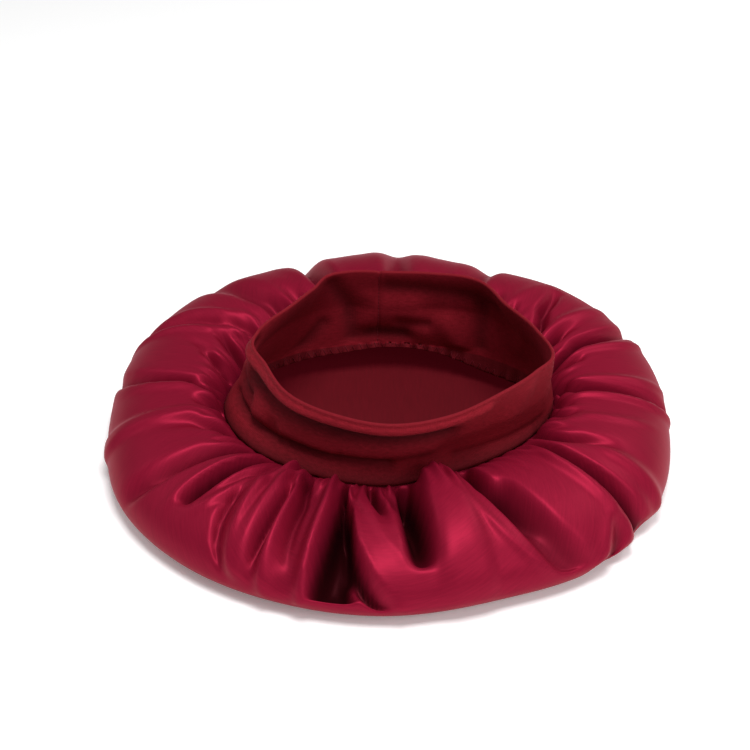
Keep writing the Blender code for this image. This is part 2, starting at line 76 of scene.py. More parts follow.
# Each fold runs out from the seam (0) towards the outermost line (1) through three bearings. before
# and after are its half widths in mm to either side. crisp 1 is a sharp crease, 0 a round one and
# below 0 one with a flat bottom or top. fade is how late it ends, and flare widens its far end.
FOLD_COLUMNS = (
    "bearing", "half_way", "at_end", "start", "reach", "height", "before", "after", "crisp", "fade",
    "flare",
)
VALLEYS = (
    (-178, -173.5, -174.5, 0.00, 0.56, -10, 5, 5, 0.5, 3, 0),
    (-171.5, -167.5, -169, 0.00, 0.58, -10, 4, 5, 0.5, 3, 0),
    (-158, -161, -166, 0.00, 0.72, -11, 7, 7, 0.1, 2, 0),
    (-154, -153, -155, 0.00, 0.50, -8, 3, 3, 0.5, 2, 0),
    (-148, -148, -154, 0.00, 1.00, -18, 10, 5, 0.5, 3, 0),
    (-139.5, -140, -141, 0.00, 0.79, -27, 5, 5, -0.3, 10, 0.1),
    (-135, -131, -134, 0.00, 0.75, -17, 2.6, 2.6, 0.2, 6, 0),
    (-132.5, -129.3, -122.5, 0.60, 0.97, -8, 3.4, 3, 0, 6, 0),
    (-128.5, -126, -123.6, 0.25, 0.82, -10, 3.4, 3.4, 0, 5, 0),
    (-123, -119.8, -119.4, 0.10, 0.96, -12, 3.6, 3.4, 0, 8, 0),
    (-121.5, -118, -112.5, 0.00, 0.84, -12, 4.2, 4.2, 0.2, 4, 0),
    (-116.5, -112.5, -111, 0.25, 0.97, -6, 9, 7, -0.4, 8, 0),
    (-106.5, -104.2, -102, 0.00, 0.95, -42, 3.4, 3.6, -0.5, 16, 3.2),
    (-103.5, -100.6, -90.5, 0.30, 0.98, -25, 4.4, 4.6, -0.2, 12, 0.8),
    (-98.5, -96, -91.5, 0.00, 0.66, -17, 5, 5, 0.1, 4, 0),
    (-85, -84.5, -83, 0.00, 0.82, -31, 8, 9, -0.2, 8, 0),
    (-60, -57, -52, 0.45, 0.97, -12, 10, 11, -0.5, 10, 0),
    (-57, -61.5, -57, 0.00, 0.76, -22, 5, 8, -0.2, 3, 0),
    (-37.5, -43, -46.5, 0.82, 1.20, -13, 5, 6, -0.3, 4, 0.5),
    (-30, -34.4, -31, 0.10, 1.17, -30, 3.4, 3.8, -0.3, 8, 1),
    (-19, -26.5, -22, 0.00, 0.74, -19, 5.5, 5.5, 0.2, 3, 0),
    (-6, -13, -12, 0.00, 0.50, -10, 3.5, 3.5, 0.3, 3, 0),
    (2, -6.5, -6, 0.00, 0.42, -9, 3, 3, 0.3, 3, 0),
    (9, 0, 3.5, 0.00, 0.95, -25, 4.2, 4.2, 0, 5, 0.2),
    (16, 14.5, 13.5, 0.00, 0.60, -14, 4, 4, 0.1, 4, 0),
    (19, 19.3, 31, 0.03, 0.98, -24, 4.6, 4.6, 0, 5, 0),
    (25, 26, 28.5, 0.00, 0.66, -19, 4.2, 4.4, 0.1, 3, 0),
    (34, 34, 45, 0.00, 0.75, -21, 5, 5, 0.1, 4, 0),
    (41, 44, 49, 0.00, 0.55, -10, 4, 4, 0.2, 3, 0),
    (51, 52.5, 55, 0.00, 0.63, -13, 7, 8, 0.5, 2, 0),
    (62, 64, 65.5, 0.00, 1.08, -13, 9, 10, 0.5, 2, 0),
    (74, 75, 75.5, 0.00, 0.62, -13, 8, 8, 0.5, 2, 0),
    (85, 87, 88, 0.00, 0.93, -15, 10, 10, 0.4, 2, 0),
    (97, 99, 100, 0.00, 0.62, -13, 8, 9, 0.5, 2, 0),
    (107, 110, 112, 0.00, 1.20, -16, 10, 10, 0.5, 3, 0),
    (118, 120.5, 123, 0.00, 0.65, -13, 8, 8, 0.5, 2, 0),
    (127, 130.5, 135.5, 0.00, 0.98, -12, 13, 12, 0.1, 2, 0),
    (143, 147, 158, 0.05, 0.98, -7, 5, 5, 0.2, 3, 0),
    (155, 154.5, 152.5, 0.00, 0.51, -14, 6, 7, 0.2, 3, 0),
    (164.5, 164.5, 158, 0.00, 0.67, -13, 4, 5, 0.5, 3, 0),
    (171.5, 174.5, 175, 0.00, 0.44, -9, 3.5, 3.5, 0.5, 3, 0),
    (175.5, 178.5, 163, 0.00, 1.06, -15, 5, 5, 0.5, 6, 0.3),
)
CRESTS = (  # their height is where the cloth stands, whatever valleys lie beside them
    (-180.5, -179, -189, 0.05, 0.98, 3, 6, 7, 0.4, 4, 0),
    (-168, -169.5, -170, 0.82, 1.20, 3, 3, 3, 1, 2, 0),
    (-167, -169, -174.5, 0.05, 1.12, 3.5, 4, 6, 1, 6, 0),
    (-163, -167, -172.5, 0.08, 1.12, 3.5, 4, 6, 1, 6, 0),
    (-152.5, -153.5, -160, 0.10, 0.72, -1, 3.5, 3.5, 1, 4, 0),
    (-139.5, -142.3, -143, 0.05, 0.86, 3, 3.2, 3.6, 0.8, 8, 0),
    (-137, -133.5, -138.5, 0.05, 0.77, -7, 3.2, 3, 0.5, 5, 0),
    (-133, -129.3, -138.5, 0.05, 0.83, 3, 3.6, 3.6, 0.8, 8, 0),
    (-131, -126.3, -122.3, 0.50, 0.96, 5, 4.5, 5, -0.3, 10, 0),
    (-129.5, -125.2, -120.6, 0.03, 0.97, 5, 6, 6.5, -0.5, 14, 0),
    (-126, -119.3, -115.4, 0.03, 1.04, 5, 3.6, 4.6, 0, 12, 0),
    (-112.5, -108.6, -107.2, 0.03, 1.05, 5.5, 6, 2.8, -0.1, 14, 0),
    (-104, -101.8, -85.5, 0.05, 1.05, 4.5, 3, 4.4, 0.3, 12, 0),
    (-104, -101, -81, 0.10, 0.87, 2, 3.2, 3.8, 0.5, 6, 0),
    (-92, -89.5, -86, 0.05, 0.72, -9, 6, 5, 0, 3, 0),
    (-72, -73.5, -74, -0.08, 1.10, 10, 16, 15, -1.0, 2, -0.2),
    (-66, -69.3, -54.5, 0.05, 1.00, 3.5, 3.6, 4, 0.9, 8, 0),
    (-38, -44.5, -48, 0.80, 1.08, 4, 4, 4, 0.2, 4, 0),
    (-32, -37.6, -37, 0.12, 1.08, 4, 6, 3.2, 0.4, 8, 0),
    (-29.5, -31.5, -27.5, 0.10, 0.76, 2.5, 2.4, 3, 0.8, 4, 0),
    (-27.5, -26, -25.5, 0.60, 1.16, 3, 3.4, 8, 0.1, 6, 0),
    (-20, -17.5, -8, 0.05, 0.86, 3, 3.4, 4, 0.8, 4, 0),
    (-1.5, -4.3, 5.5, 0.03, 1.18, 3.5, 3, 3.6, 0.9, 8, 0),
    (5, 3.5, 11.5, 0.15, 1.05, 2.5, 3, 4, 0.3, 4, 0),
    (13, 10, 14.5, 0.00, 0.66, 3, 2.8, 2.8, 0.9, 4, 0),
    (18, 15.8, 28, 0.03, 1.05, 3.5, 3, 4, 0.9, 6, 0),
    (29, 30.5, 37, 0.03, 0.95, 3, 6, 5, 0.3, 4, 0),
    (48, 48.5, 47.5, 0.00, 0.88, 2.5, 7, 7, 0.8, 2, 0),
    (69, 70, 71.5, 0.00, 0.88, 2.5, 7, 7, 0.8, 2, 0),
    (80, 80.5, 81, 0.00, 0.88, 2.5, 7, 7, 0.8, 2, 0),
    (92, 92.5, 94.5, 0.00, 0.88, 2.5, 7, 7, 0.8, 2, 0),
    (103, 105, 105.5, 0.00, 0.88, 2.5, 7, 7, 0.8, 2, 0),
    (113, 114.5, 119.5, 0.00, 0.88, 2.5, 7, 7, 0.8, 2, 0),
    (138, 142.5, 155, 0.05, 0.98, 3, 3.5, 3.5, 1, 4, 0),
    (143, 152.5, 160, 0.05, 1.05, 3.5, 4, 4, 1, 6, 0),
)
DEEPEST = -32.0  # mm, past which valleys that meet deepen only slowly
PAST_DEEPEST = 0.3  # share of any further depth that they keep
ROUND_NEAR_SEAM = 0.35  # folds start round at the seam and are crisp from here outwards
FROM_SEAM = 0.2  # folds that start nearer to the seam than this have its ease-in
VALLEY_EASE = 0.14  # share of the way out by which a valley from the seam has its full depth
CREST_EASE = 0.25  # the same for a crest
LOBE_EASE = 0.1  # the same for a crest with a flat top
EASE_IN = 0.25  # share of its own length where a fold that starts further out has its full height
CREASE_CURVE = 1.6  # power of a sharp crease's sides; 1 is a plain V
WIDTH_AT_SEAM = 0.55  # of a fold's half width; it widens to 0.95 half way out and 1.35 at the edge
WIDENING = 0.8
RING_BEARINGS = np.arange(0, 360, 0.5)


def smooth(x):
    """0 to 1 with a level start and end."""
    x = np.clip(x, 0, 1)
    return x * x * (3 - 2 * x)


def ring_of(table, names, name):
    """One column of a table as a smooth closed curve, sampled every half degree."""
    rows = table[np.argsort(table[:, 0] % 360)]
    at, value = rows[:, 0] % 360, rows[:, names.index(name)]
    at = np.concatenate((at[-2:] - 360, at, at[:2] + 360))
    value = np.concatenate((value[-2:], value, value[:2]))
    slope = (value[2:] - value[:-2]) / (at[2:] - at[:-2])
    k = np.searchsorted(at, RING_BEARINGS, side="right") - 1
    span = at[k + 1] - at[k]
    s = (RING_BEARINGS - at[k]) / span
    return (
        (2 * s**3 - 3 * s**2 + 1) * value[k]
        + (s**3 - 2 * s**2 + s) * slope[k - 1] * span
        + (3 * s**2 - 2 * s**3) * value[k + 1]
        + (s**3 - s**2) * slope[k] * span
    )


def at_bearing(ring, bearing):
    """Such a curve's value at each bearing."""
    return np.interp(bearing % 360, RING_BEARINGS, ring, period=360)


seam_radius, seam_height, edge_radius, puff = (
    ring_of(CROWN_SECTIONS, CROWN_COLUMNS, name) for name in CROWN_COLUMNS[1:]
)


def crown_section(bearing, out):
    """The crown without folds: out is 0 at the seam, 1 at the outermost line, 2 flat underneath."""
    inner = at_bearing(seam_radius, bearing)
    low = at_bearing(seam_height, bearing) - SEAM_DROP
    edge = at_bearing(edge_radius, bearing)
    top = PUFF_HEIGHT * at_bearing(puff, bearing)
    roll = edge - UPPER_ROLL
    slope = np.clip(out / SLOPE_SHARE, 0, 1)
    rise = np.clip((slope - TUCK) / (1 - TUCK), 0, 1)
    over = np.clip((out - SLOPE_SHARE) / (1 - SLOPE_SHARE), 0, 1) * math.pi / 2
    under = np.clip(out - 1, 0, 1) * math.pi / 2
    radius = np.select(
        (out < SLOPE_SHARE, out <= 1),
        (inner + (roll - inner) * slope, roll + UPPER_ROLL * np.sin(over)),
        edge - LOWER_ROLL + LOWER_ROLL * np.cos(under),
    )
    height = np.select(
        (out < SLOPE_SHARE, out <= 1),
        (
            low + (top - low) * np.sin(math.pi / 2 * rise**SLOPE_CURVE),
            EDGE_HEIGHT + (top - EDGE_HEIGHT) * np.cos(over),
        ),
        EDGE_HEIGHT * (1 - np.sin(under)),
    )
    return radius, height


def fold_strength(fold, ease, bearing, radius, out):
    """How much of the fold is felt at each place, 0 to 1."""
    length = fold["reach"] - fold["start"]
    along = np.clip((out - fold["start"]) / length, 0, 1)
    line = (
        fold["bearing"] * (1 - along) * (1 - 2 * along)
        + fold["half_way"] * 4 * along * (1 - along)
        + fold["at_end"] * along * (2 * along - 1)
    )
    distance = np.radians((bearing - line + 180) % 360 - 180) * radius
    half_width = np.where(distance < 0, fold["before"], fold["after"])
    half_width = half_width * (WIDTH_AT_SEAM + WIDENING * out) * (1 + fold["flare"] * along**3)
    across = np.clip(np.abs(distance) / half_width, 0, 1)
    if fold["crisp"] > 0:
        crisp = fold["crisp"] * smooth(out / ROUND_NEAR_SEAM)
        profile = (1 - across) ** CREASE_CURVE
    else:
        crisp = -fold["crisp"]
        profile = (1 - across**4) ** 2
    ease_in = ease / length if fold["start"] < FROM_SEAM else EASE_IN
    ends = smooth(along / ease_in) * (1 - along ** fold["fade"])
    return ends * (crisp * profile + (1 - crisp) * (1 - across**2) ** 2)


def fold_heights(bearing, radius, out):
    """The cloth's height over the puffed shape at each place, in mm along its outward normal."""
    total = np.zeros_like(out)
    for row in VALLEYS:
        fold = dict(zip(FOLD_COLUMNS, row))
        total += fold["height"] * fold_strength(fold, VALLEY_EASE, bearing, radius, out)
    total = np.where(total < DEEPEST, DEEPEST + (total - DEEPEST) * PAST_DEEPEST, total)
    for row in CRESTS:
        fold = dict(zip(FOLD_COLUMNS, row))
        ease = LOBE_EASE if fold["crisp"] < 0 else CREST_EASE
        total += (fold["height"] - total) * fold_strength(fold, ease, bearing, radius, out)
    return total


# The flat circle: rings of points, close together where it gathers and wide apart on the floor.
SPACING = (0, 125, 155, 210, 280), (12, 9, 4.2, 4.4, 5.2)  # mm: at these radii, between points
RING_STEP = 0.9  # from one ring to the next, as a share of the spacing
LAST_STEP = 1.3  # with fewer spacings than this left, the next ring is the circle's edge
ring_points = [(0.0, 0.0)]
ring_radius = 0.0
shift = 0.0
while ring_radius < CUT_RADIUS:
    spacing = float(np.interp(ring_radius, *SPACING))
    left = CUT_RADIUS - ring_radius
    ring_radius = ring_radius + spacing * RING_STEP if left > spacing * LAST_STEP else CUT_RADIUS
    count = max(6, round(2 * math.pi * ring_radius / spacing))
    shift = (shift + 0.5) % 1
    ring_points += [
        (ring_radius * math.cos(a), ring_radius * math.sin(a))
        for a in 2 * math.pi * (np.arange(count) + shift) / count
    ]
cut = delaunay_2d_cdt([Vector(p) for p in ring_points], [], [], 0, 1e-6)
flat = np.array([tuple(p) for p in cut[0]])
triangles = np.array([tuple(t) for t in cut[2]])

# The fine gathers: eight waves round the seam that drift sideways on their way out.
GATHER_COUNTS = 55, 120  # least and most waves round the seam
GATHER_DRIFT = 1.5  # radians, about
GATHER_HEIGHT = 1.8  # mm
GATHER_SUM = 2.8  # about the size of eight such waves together
GATHER_START = 0.06  # share of the way out by which they have their full height
GATHER_FADE = 0.14, 0.5  # they keep it this far out, and then fade over this
GATHER_DEPTH = 6.0, 14.0  # mm, where they start to fade in a fold, and over how much more
gather_rng = np.random.default_rng(3)
GATHERS = [
    (
        int(gather_rng.integers(*GATHER_COUNTS)), gather_rng.uniform(0, 2 * math.pi),
        gather_rng.normal() * GATHER_DRIFT,
    )
    for _ in range(8)
]


def gather_heights(bearing, out, lift):
    """The gathers' height in mm, where the folds have already lifted the cloth by so much."""
    fade_from, fade_over = GATHER_FADE
    depth_from, depth_over = GATHER_DEPTH
    heights = sum(
        np.sin(waves * np.radians(bearing) + phase + drift * out) for waves, phase, drift in GATHERS
    )
    heights *= (
        smooth(out / GATHER_START) * (1 - smooth((out - fade_from) / fade_over))
        * (1 - smooth((-depth_from - lift) / depth_over))
    )
    return heights / GATHER_SUM * GATHER_HEIGHT


def placed(bearing, radius, height):
    """Points in metres, from bearings round the bonnet's middle and sizes in mm."""
    angle = np.radians(bearing)
    return np.column_stack((
        radius * np.cos(angle) + MIDDLE[0],
        radius * np.sin(angle) + MIDDLE[1],
        height + FLOOR_GAP,
    )) * MM


UPPER_STATIONS = 41  # places where a section is measured, from the seam to the outermost line
LOWER_STATIONS = 17  # and from there to where it lies flat
NEARBY = 0.01  # share of the way out, from a place to those that give the cloth's slope there
UNDERSIDE_SPREAD = 0.5  # how much further out the folds count as going, on the roll's underside
UPRIGHT_VALLEYS = 0.85, 0.35  # valleys sink straight down this far out, then turn inward over this
UPRIGHT_CRESTS = 0.3  # crests rise straight up at the seam and along the cloth's normal from here
VALLEY_FLOOR = 1.0  # mm of air that a valley's bottom keeps over the underside


def puffed(points):
    """Each flat point's place on the puffed shape, as far from the seam along the section as on
    the flat, and how far the folds and gathers lift it there, in mm."""
    cut_radius = np.hypot(points[:, 0], points[:, 1])
    bearing = np.degrees(np.arctan2(points[:, 1], points[:, 0]))
    stations = np.concatenate((
        np.linspace(0, 1, UPPER_STATIONS), np.linspace(1, 2, LOWER_STATIONS)[1:],
    ))
    section = crown_section(bearing[:, None], np.tile(stations, (len(points), 1)))
    steps = np.hypot(np.diff(section[0], axis=1), np.diff(section[1], axis=1))
    walked = np.concatenate((np.zeros((len(points), 1)), np.cumsum(steps, axis=1)), axis=1)
    whole = walked[:, -1] + section[0][:, -1]
    distance = (CUT_RADIUS - cut_radius) * whole / CUT_RADIUS
    out = np.array([np.interp(d, w, stations) for d, w in zip(distance, walked)])
    belly = distance > walked[:, -1]
    radius, height = crown_section(bearing, out)
    near = crown_section(bearing, np.maximum(out - NEARBY, 0)), crown_section(bearing, out + NEARBY)
    slope = np.array(near[1]) - np.array(near[0])
    slope /= np.hypot(*slope) + 1e-9
    spread = np.where(out <= 1, out, 1 + (out - 1) * UNDERSIDE_SPREAD)
    lift = fold_heights(bearing, radius, spread) * np.clip(2 - out, 0, 1)
    lift += gather_heights(bearing, out, lift)
    radius = np.where(belly, whole - distance, radius)
    lift[belly] = 0
    turn_from, turn_over = UPRIGHT_VALLEYS
    tilt = np.where(lift < 0, smooth((out - turn_from) / turn_over), smooth(out / UPRIGHT_CRESTS))
    across, up = -slope[1] * tilt, slope[0] * tilt + 1 - tilt
    length = np.hypot(across, up)
    height = np.where(belly, 0, height + up / length * lift)
    radius = np.where(belly, radius, radius + across / length * lift)
    under = np.clip((radius - at_bearing(edge_radius, bearing)) / LOWER_ROLL + 1, 0, 1)
    lowest = EDGE_HEIGHT * (1 - np.sqrt(1 - under**2)) + VALLEY_FLOOR
    height = np.maximum(height, np.where(out < 1, lowest, 0))
    return placed(bearing, radius, height), lift


laid = puffed(flat)[0]

# The cloth simulation: the laid cloth settles against the floor, the band and itself. Most of it
# moves by well under 1 mm, because its goal holds the folds where they were laid.
GOAL = 0.65  # how firmly the free cloth is held where it was laid, from 0 to 1
FRAMES = 40
PINNED_EDGE = 6.0  # mm of the flat circle's edge that don't move
PINNED_MIDDLE = 100.0  # mm, the radius of its middle that doesn't move
CONTACT = 0.001  # m that the cloth keeps from what it touches


def add_mesh(name, points, faces):
    """A mesh object in the scene, from points in metres."""
    mesh = bpy.data.meshes.new(name)
    mesh.from_pydata([tuple(map(float, p)) for p in points], [], [tuple(map(int, f)) for f in faces])
    mesh.update()
    obj = bpy.data.objects.new(name, mesh)
    bpy.context.scene.collection.objects.link(obj)
    return obj


def add_square(name, half_side, height):
    """A level square round the origin."""
    corners = ((-1, -1), (1, -1), (1, 1), (-1, 1))
    return add_mesh(name, [(x * half_side, y * half_side, height) for x, y in corners], [(0, 1, 2, 3)])


def positions(mesh):
    """The mesh's points as rows."""
    values = np.zeros(len(mesh.vertices) * 3, np.float32)
    mesh.vertices.foreach_get("co", values)
    return values.reshape(-1, 3).astype(float)


def simulate(points):
    """The points after the cloth has settled."""
    sheet = add_mesh("sheet", points, triangles)
    sheet.shape_key_add(name="Basis")
    rest = sheet.shape_key_add(name="flat")
    rest_points = np.column_stack((flat * MM, np.zeros(len(flat))))
    rest.data.foreach_set("co", rest_points.astype(np.float32).ravel())
    rest.value = 0
    pins = sheet.vertex_groups.new(name="pins")
    cut_radius = np.hypot(flat[:, 0], flat[:, 1])
    held = (cut_radius > CUT_RADIUS - PINNED_EDGE) | (cut_radius < PINNED_MIDDLE)
    pins.add([int(k) for k in np.flatnonzero(held)], 1.0, "REPLACE")
    pins.add([int(k) for k in np.flatnonzero(~held)], GOAL, "REPLACE")
    cloth = sheet.modifiers.new("cloth", "CLOTH")
    settings = cloth.settings
    settings.quality = 5
    settings.mass = 0.3
    settings.tension_stiffness = settings.compression_stiffness = 15
    settings.shear_stiffness = 6
    settings.bending_stiffness = 0.05
    settings.tension_damping = settings.compression_damping = settings.shear_damping = 5
    settings.bending_damping = 0.5
    settings.vertex_group_mass = "pins"
    settings.rest_shape_key = rest
    settings.use_pressure = True
    settings.uniform_pressure_force = 0.05
    settings.effector_weights.gravity = 0.02
    touch = cloth.collision_settings
    touch.use_collision = True
    touch.distance_min = CONTACT
    touch.collision_quality = 2
    touch.use_self_collision = True
    touch.self_distance_min = CONTACT
    touch.self_friction = 2
    cloth.point_cache.frame_start = 1
    cloth.point_cache.frame_end = FRAMES + 5
    ground = add_square("ground", 1, FLOOR_GAP * MM - CONTACT)
    cad_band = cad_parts["stretch_band"]
    wall = add_mesh(
        "wall", positions(cad_band.data), [tuple(p.vertices) for p in cad_band.data.polygons]
    )
    for collider in (ground, wall):
        collider.modifiers.new("collision", "COLLISION")
        collider.collision.thickness_outer = CONTACT
    scene = bpy.context.scene
    scene.frame_start, scene.frame_end = 1, FRAMES
    for number in range(1, FRAMES + 1):
        scene.frame_set(number)
    settled = sheet.evaluated_get(bpy.context.evaluated_depsgraph_get())
    result = positions(settled.to_mesh())
    settled.to_mesh_clear()
    for obj in (sheet, ground, wall):
        bpy.data.objects.remove(obj, do_unlink=True)
    scene.frame_set(1)
    return result


draped = simulate(laid)


def sides_of(triangles):
    """The three sides of each triangle, as pairs of points."""
    return np.concatenate((triangles[:, [0, 1]], triangles[:, [1, 2]], triangles[:, [2, 0]]))


def averaged(values, triangles):
    """Each point's values averaged with its neighbours'."""
    sides = sides_of(triangles)
    total = values.copy()
    number = np.ones((len(values), 1))
    np.add.at(total, sides[:, 0], values[sides[:, 1]])
    np.add.at(number, sides[:, 0], 1)
    return total / number


def split(points, values, faces):
    """One Loop subdivision of a triangle mesh; values are split without smoothing."""
    edges, index, uses = np.unique(
        np.sort(sides_of(faces), axis=1), axis=0, return_inverse=True, return_counts=True
    )
    index = index.ravel()
    opposite = np.concatenate((faces[:, 2], faces[:, 0], faces[:, 1]))
    far = np.zeros((len(edges), points.shape[1]))
    np.add.at(far, index, points[opposite])
    ends = points[edges].sum(axis=1)
    rim = uses == 1
    middle = np.where(rim[:, None], ends / 2, ends * 3 / 8 + far / 8)
    total = np.zeros_like(points)
    number = np.zeros(len(points))
    inner = np.ones(len(points), bool)
    inner[edges[rim].ravel()] = False
    for a, b in ((0, 1), (1, 0)):
        np.add.at(total, edges[:, a], points[edges[:, b]])
        np.add.at(number, edges[:, a], 1)
    weight = (5 / 8 - (3 / 8 + np.cos(2 * math.pi / np.maximum(number, 3)) / 4) ** 2)[:, None]
    moved = points * (1 - weight) + total / np.maximum(number, 1)[:, None] * weight
    even = np.where(inner[:, None], moved, points)
    n = len(faces)
    a, b, c = faces.T
    ab, bc, ca = (index[k * n:(k + 1) * n] + len(points) for k in range(3))
    smaller = np.concatenate([
        np.stack(t, axis=1) for t in ((a, ab, ca), (ab, b, bc), (ca, bc, c), (ab, bc, ca))
    ])
    return (
        np.concatenate((even, middle)),
        np.concatenate((values, values[edges].mean(axis=1))),
        smaller,
    )


# The fine cloth: the puffed shape again, moved as the simulation moved the coarse one.
MOVE_SMOOTHING = 5  # times that the simulation's movement is averaged
CLOTH_SMOOTHING = 2  # times that the cloth itself is
SEWN_EDGE = 3.0  # mm of the circle's edge that keep their place
SATIN_THICKNESS = 0.35  # mm
DEEPEST_PAINTED_SHADE = 24.0  # mm below the puffed shape, where the painted shade is full
moved = draped - laid
for _ in range(MOVE_SMOOTHING):
    moved = averaged(moved, triangles)
moved, fine_flat, fine_triangles = split(moved, flat, triangles)
fine_triangles = fine_triangles[:, ::-1]
fine, fine_lift = puffed(fine_flat)
fine += moved
free = np.hypot(*fine_flat.T) < CUT_RADIUS - SEWN_EDGE
for _ in range(CLOTH_SMOOTHING):
    fine[free] = averaged(fine, fine_triangles)[free]


def add_painted_shade(obj, name, values):
    """A painted shade of 0 to 1 for each point of the mesh, which its material reads by name."""
    shade = obj.data.attributes.new(name, "FLOAT", "POINT")
    shade.data.foreach_set("value", values.astype(np.float32))


def corner_points(obj):
    """The number of the point at each corner of the mesh's faces."""
    corner = np.zeros(len(obj.data.loops), np.int32)
    obj.data.loops.foreach_get("vertex_index", corner)
    return corner


def add_cut_map(obj, name, places):
    """A UV map that holds each corner's place on the flat cut, in metres."""
    cut_map = obj.data.uv_layers.new(name=name)
    cut_map.data.foreach_set("uv", places.astype(np.float32).ravel())


crown = add_mesh("satin_crown_cloth", fine, fine_triangles)
# painted shade: the deeper a point lies in a fold, the darker its colour
add_painted_shade(crown, "fold_painted_shade", np.clip(-fine_lift / DEEPEST_PAINTED_SHADE, 0, 1))
add_cut_map(crown, "cut", fine_flat[corner_points(crown)] * MM)
crown.data.shade_smooth()
thickness = crown.modifiers.new("thickness", "SOLIDIFY")
thickness.thickness = SATIN_THICKNESS * MM
thickness.offset = -1
thickness.material_offset = 1
thickness.material_offset_rim = 1


def linear(code):
    """An sRGB hex colour as Blender's linear RGBA."""
    parts = [int(code[k:k + 2], 16) / 255 for k in (1, 3, 5)]
    return (*(p / 12.92 if p <= 0.04045 else ((p + 0.055) / 1.055) ** 2.4 for p in parts), 1)


def add_node(tree, kind, settings=None, links=None, **values):
    """A node with its settings, its plain input values and the sockets that feed its inputs."""
    node = tree.nodes.new(kind)
    for name, value in (settings or {}).items():
        setattr(node, name, value)
    for name, value in values.items():
        node.inputs[name.replace("_", " ")].default_value = value
    for name, socket in (links or {}).items():
        tree.links.new(socket, node.inputs[name])
    return node


def new_material(name):
    """A material, its node tree and its shader."""
    material = bpy.data.materials.new(name)
    material.use_nodes = True
    return material, material.node_tree, material.node_tree.nodes["Principled BSDF"]


def threads(tree, uv_map, scale, detail, roughness):
    """Noise on a cloth's UV map that is drawn out along its threads by a scale each way, in 1/m."""
    uv = add_node(tree, "ShaderNodeUVMap", {"uv_map": uv_map})
    drawn = add_node(tree, "ShaderNodeMapping", links={"Vector": uv.outputs["UV"]}, Scale=(*scale, 1))
    noise = add_node(
        tree, "ShaderNodeTexNoise", links={"Vector": drawn.outputs["Vector"]},
        Scale=1.0, Detail=detail, Roughness=roughness,
    )
    return noise.outputs["Fac"]


def between(tree, amount, colours, ends=(0.30, 0.70)):
    """The first colour up to one end of the amount, the second from the other end on."""
    ramp = add_node(tree, "ShaderNodeValToRGB", links={"Fac": amount})
    for element, code, end in zip(ramp.color_ramp.elements, colours, ends):
        element.position = end
        element.color = linear(code)
    return ramp.outputs["Color"]


def with_painted_shade(tree, colour, amount, dark):
    """The colour with painted shade, which goes over to a dark one as the amount goes from 0 to 1."""
    mix = add_node(
        tree, "ShaderNodeMix", {"data_type": "RGBA"}, links={"Factor": amount, "A": colour},
    )
    mix.inputs["B"].default_value = linear(dark)
    return mix.outputs["Result"]


def bumped(tree, height, strength, distance):
    """The normals of a fine relief, whose greatest height is the distance in metres."""
    bump = add_node(tree, "ShaderNodeBump", links={"Height": height}, Strength=strength, Distance=distance)
    return bump.outputs["Normal"]


# The satin's face: long floats give it a broad sheen that runs across the threads, faint streaks along
# them, and a deep wine red, which painted shade takes to nearly black down in its folds, where little
# light reaches.
satin, tree, shader = new_material("wine red satin face")
streaks = threads(tree, "cut", (60, 900), 4.0, 0.6)
weave = threads(tree, "cut", (900, 3600), 2.0, 0.5)
gloss = add_node(tree, "ShaderNodeMapRange", links={"Value": streaks}, To_Min=0.465, To_Max=0.48)
tangent = add_node(tree, "ShaderNodeTangent", {"direction_type": "UV_MAP", "uv_map": "cut"})
depth = add_node(tree, "ShaderNodeAttribute", {"attribute_name": "fold_painted_shade"})
deep = add_node(
    tree, "ShaderNodeMapRange", links={"Value": depth.outputs["Fac"]}, From_Min=0.07, To_Max=0.92
)
colour = between(tree, streaks, ("#80112B", "#8D1530"))
# painted shade: the colour goes over to near black down in the folds
colour_in_painted_shade = with_painted_shade(tree, colour, deep.outputs["Result"], "#1C0606")
tree.links.new(colour_in_painted_shade, shader.inputs["Base Color"])
tree.links.new(gloss.outputs["Result"], shader.inputs["Roughness"])
tree.links.new(bumped(tree, weave, 0.06, 0.0001), shader.inputs["Normal"])
tree.links.new(tangent.outputs["Tangent"], shader.inputs["Tangent"])
shader.inputs["IOR"].default_value = 1.4
shader.inputs["Metallic"].default_value = 0.34
shader.inputs["Specular IOR Level"].default_value = 0.2
shader.inputs["Specular Tint"].default_value = linear("#FF96A6")
shader.inputs["Anisotropic"].default_value = 0.45

# The satin's reverse: the same threads without the long floats, so it is duller and darker. Its faint red
# glow is painted light, which stands in for the light that comes through the thin cloth into the inside of
# the crown.
reverse, tree, shader = new_material("wine red satin reverse")
slubs = threads(tree, "cut", (900, 60), 4.0, 0.6)
tree.links.new(between(tree, slubs, ("#4E060E", "#5A0812")), shader.inputs["Base Color"])
tree.links.new(bumped(tree, slubs, 0.3, 0.0001), shader.inputs["Normal"])
shader.inputs["Roughness"].default_value = 0.7
shader.inputs["Specular IOR Level"].default_value = 0.15
# painted light: a faint red glow, though the cloth is no lamp
shader.inputs["Emission Color"].default_value = linear("#A01830")
shader.inputs["Emission Strength"].default_value = 0.08

crown.data.materials.append(satin)
crown.data.materials.append(reverse)
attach(crown, "root")
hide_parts("satin_crown")

# --- The stretch band ------------------------------------------------------------------------
# A strip of stretch jersey, 53 cm round, doubled over at its free rim and sewn to the gathered
# crown at its foot, where its overlocked edge hangs into the hollow. It stands up, buckled by its
# own softness, with one upright join seam at the back.

